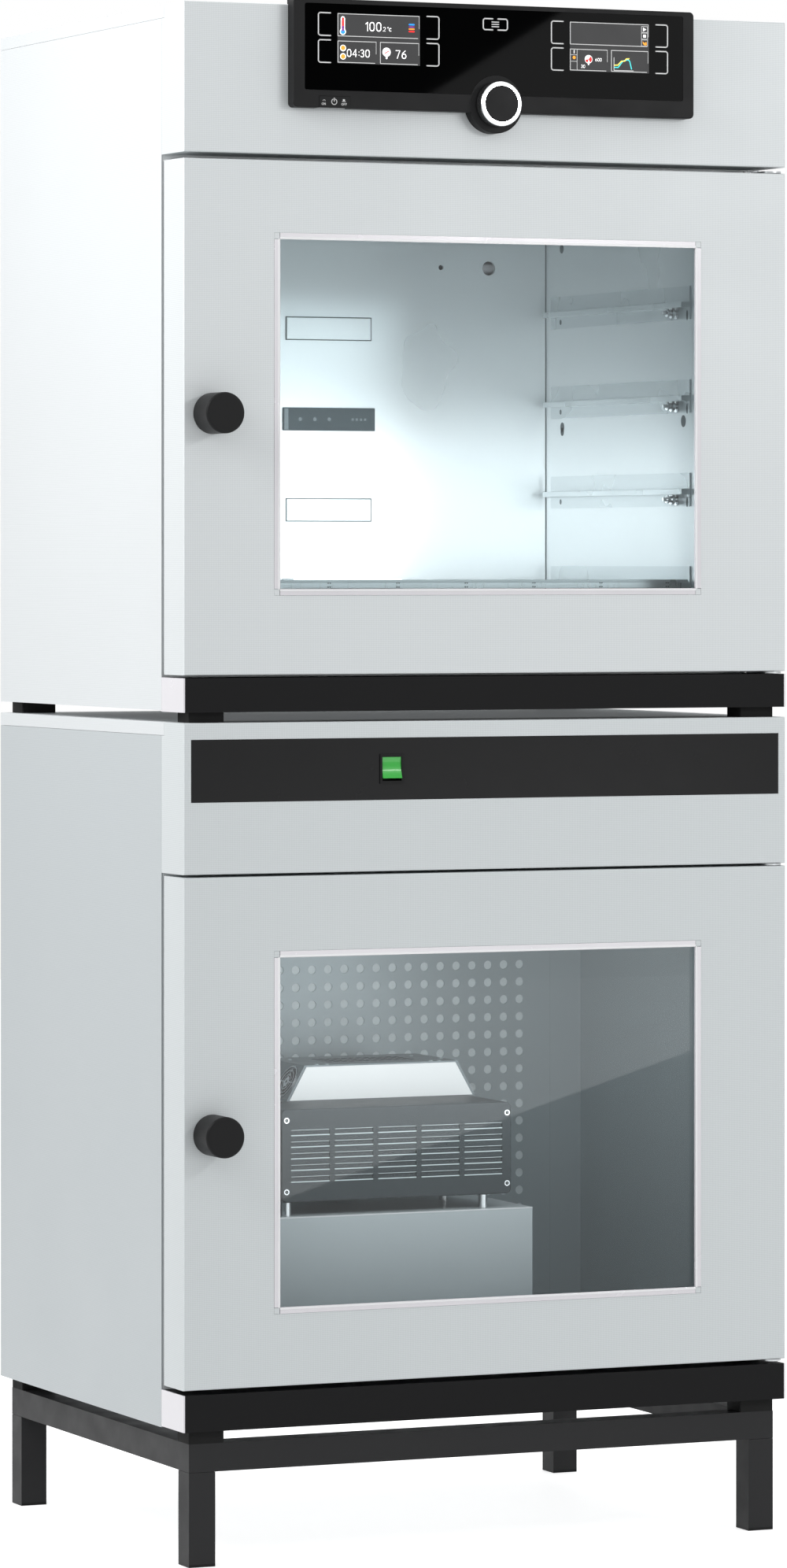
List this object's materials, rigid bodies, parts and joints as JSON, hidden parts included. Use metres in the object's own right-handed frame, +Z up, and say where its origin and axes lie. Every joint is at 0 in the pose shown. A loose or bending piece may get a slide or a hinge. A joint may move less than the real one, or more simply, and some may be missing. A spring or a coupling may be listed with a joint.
{
  "type": "vacuum oven",
  "caption": "Laboratory vacuum oven stacked on a glazed pump cabinet and a low square-tube frame, with hinged glass doors, turning knobs and a dial cockpit.",
  "frame": {"origin": "on the floor, under the middle of the object's bounding box, which is the middle of the cabinets", "axes": "+Z up, +X to the right as seen from the front, +Y from the front to the back"},
  "size_m": [0.71, 0.626, 1.656],
  "materials": {
    "frame_black": "semi-matt black powder coat",
    "foot_rubber": "black rubber",
    "black_plastic": "fine-grained matt black",
    "casing_white": "smooth pale enamel",
    "galvanised": "plain zinc sheet",
    "linen_steel": "linen-embossed stainless steel",
    "trim_pale": "pale lilac-white trim",
    "plinth_black": "matt black",
    "pane_glass": "clear glass",
    "steel": "bright steel",
    "stainless": "satin stainless steel",
    "wool": "mineral wool",
    "seal_rubber": "grey silicone",
    "shelf_aluminium": "satin anodised",
    "socket_black": "matt heat-proof plastic",
    "board_green": "circuit board",
    "cockpit_black": "fine-grained matt black",
    "cockpit_glass": "gloss black glass",
    "dial_metal": "turned aluminium",
    "rocker_green": "translucent green",
    "fascia_black": "satin black strip",
    "pedestal_pale": "pale enamel",
    "pump_grey": "dark grey enamel",
    "pump_cast": "cast aluminium",
    "fan_black": "black",
    "hinge_black": "black steel"
  },
  "bodies": {
    "cabinets": {"frame_rails": "frame_black", "frame_legs": "frame_black", "leg_glides": "black_plastic", "rubber_feet": "foot_rubber", "base_pans": "galvanised", "oven_side_panels": "casing_white", "module_side_panels": "casing_white", "unit_lids": "casing_white", "back_panels": "casing_white", "oven_front_panel": "linen_steel", "module_front_panel": "linen_steel", "oven_front_frame": "stainless", "module_front_frame": "stainless", "plinth_bars": "plinth_black", "plinth_end_caps": "trim_pale", "hinge_brackets": "hinge_black", "oven_chamber": "stainless", "chamber_gasket": "seal_rubber", "chamber_insulation": "wool", "shelf_rails": "stainless", "shelf_sockets": "socket_black", "vacuum_line": "steel", "mains_inlets": "black_plastic", "control_board": "board_green", "cockpit_housing": "cockpit_black", "cockpit_glass": "cockpit_glass", "fascia_strip": "fascia_black", "switch_bezel": "black_plastic", "module_liner": "stainless", "perforated_panel": "stainless", "pump_pedestal": "pedestal_pale", "pump_posts": "steel", "pump_cover": "pump_grey", "pump_cover_screws": "steel", "pump_body": "pump_cast", "pump_top_housing": "pedestal_pale", "pump_fan_guard": "steel"},
    "oven_door": {"oven_door_skin": "linen_steel", "oven_window_trim": "trim_pale", "oven_outer_pane": "pane_glass", "oven_door_inner_pan": "stainless", "oven_inner_glass": "pane_glass", "oven_pane_springs": "steel", "oven_hinge_pins": "steel"},
    "module_door": {"module_door_skin": "linen_steel", "module_window_trim": "trim_pale", "module_outer_pane": "pane_glass", "module_door_inner_pan": "stainless", "module_hinge_pins": "steel"},
    "oven_latch": {"oven_door_knob": "black_plastic", "oven_latch_shaft": "steel"},
    "module_latch": {"module_door_knob": "black_plastic", "module_latch_shaft": "steel"},
    "dial_plunger": {"dial_shaft": "steel"},
    "dial": {"dial_ring": "dial_metal", "dial_cap": "black_plastic"},
    "power_key": {"power_button": "cockpit_black"},
    "rocker": {"switch_rocker": "rocker_green"},
    "shelf": {"heated_shelf": "shelf_aluminium"},
    "pump_fan": {"pump_fan_rotor": "fan_black"}
  },
  "joints": [
    {"name": "oven_door_hinge", "type": "hinge", "parent": "cabinets", "child": "oven_door", "pos_m": [0.343, -0.263, 1.216], "axis": [0, 0, 1], "range_deg": [0, 110]},
    {"name": "module_door_hinge", "type": "hinge", "parent": "cabinets", "child": "module_door", "pos_m": [0.343, -0.263, 0.456], "axis": [0, 0, 1], "range_deg": [0, 110]},
    {"name": "oven_knob_turn", "type": "hinge", "parent": "oven_door", "child": "oven_latch", "pos_m": [-0.3225, -0.275, 1.216], "axis": [0, -1, 0], "range_deg": [0, 90]},
    {"name": "module_knob_turn", "type": "hinge", "parent": "module_door", "child": "module_latch", "pos_m": [-0.3225, -0.275, 0.456], "axis": [0, -1, 0], "range_deg": [0, 90]},
    {"name": "dial_push", "type": "slide", "parent": "cabinets", "child": "dial_plunger", "axis": [0, 1, 0], "range_m": [0, 0.001], "stiffness_N_per_m": 1500},
    {"name": "dial_turn", "type": "hinge", "parent": "dial_plunger", "child": "dial", "pos_m": [0, -0.29, 1.5494], "axis": [0, 1, 0], "continuous": true},
    {"name": "power_key_press", "type": "slide", "parent": "cabinets", "child": "power_key", "axis": [0, 1, 0], "range_m": [0, 0.0015], "stiffness_N_per_m": 800},
    {"name": "rocker_tilt", "type": "hinge", "parent": "cabinets", "child": "rocker", "pos_m": [-0.116, -0.2677, 0.8392], "axis": [1, 0, 0], "range_deg": [0, 16]},
    {"name": "shelf_slide", "type": "slide", "parent": "cabinets", "child": "shelf", "axis": [0, -1, 0], "range_m": [0, 0.022]},
    {"name": "pump_fan_spin", "type": "hinge", "parent": "cabinets", "child": "pump_fan", "pos_m": [-0.11975, 0.0023, 0.4855], "axis": [-0.8757, 0, 0.4828], "continuous": true}
  ]
}
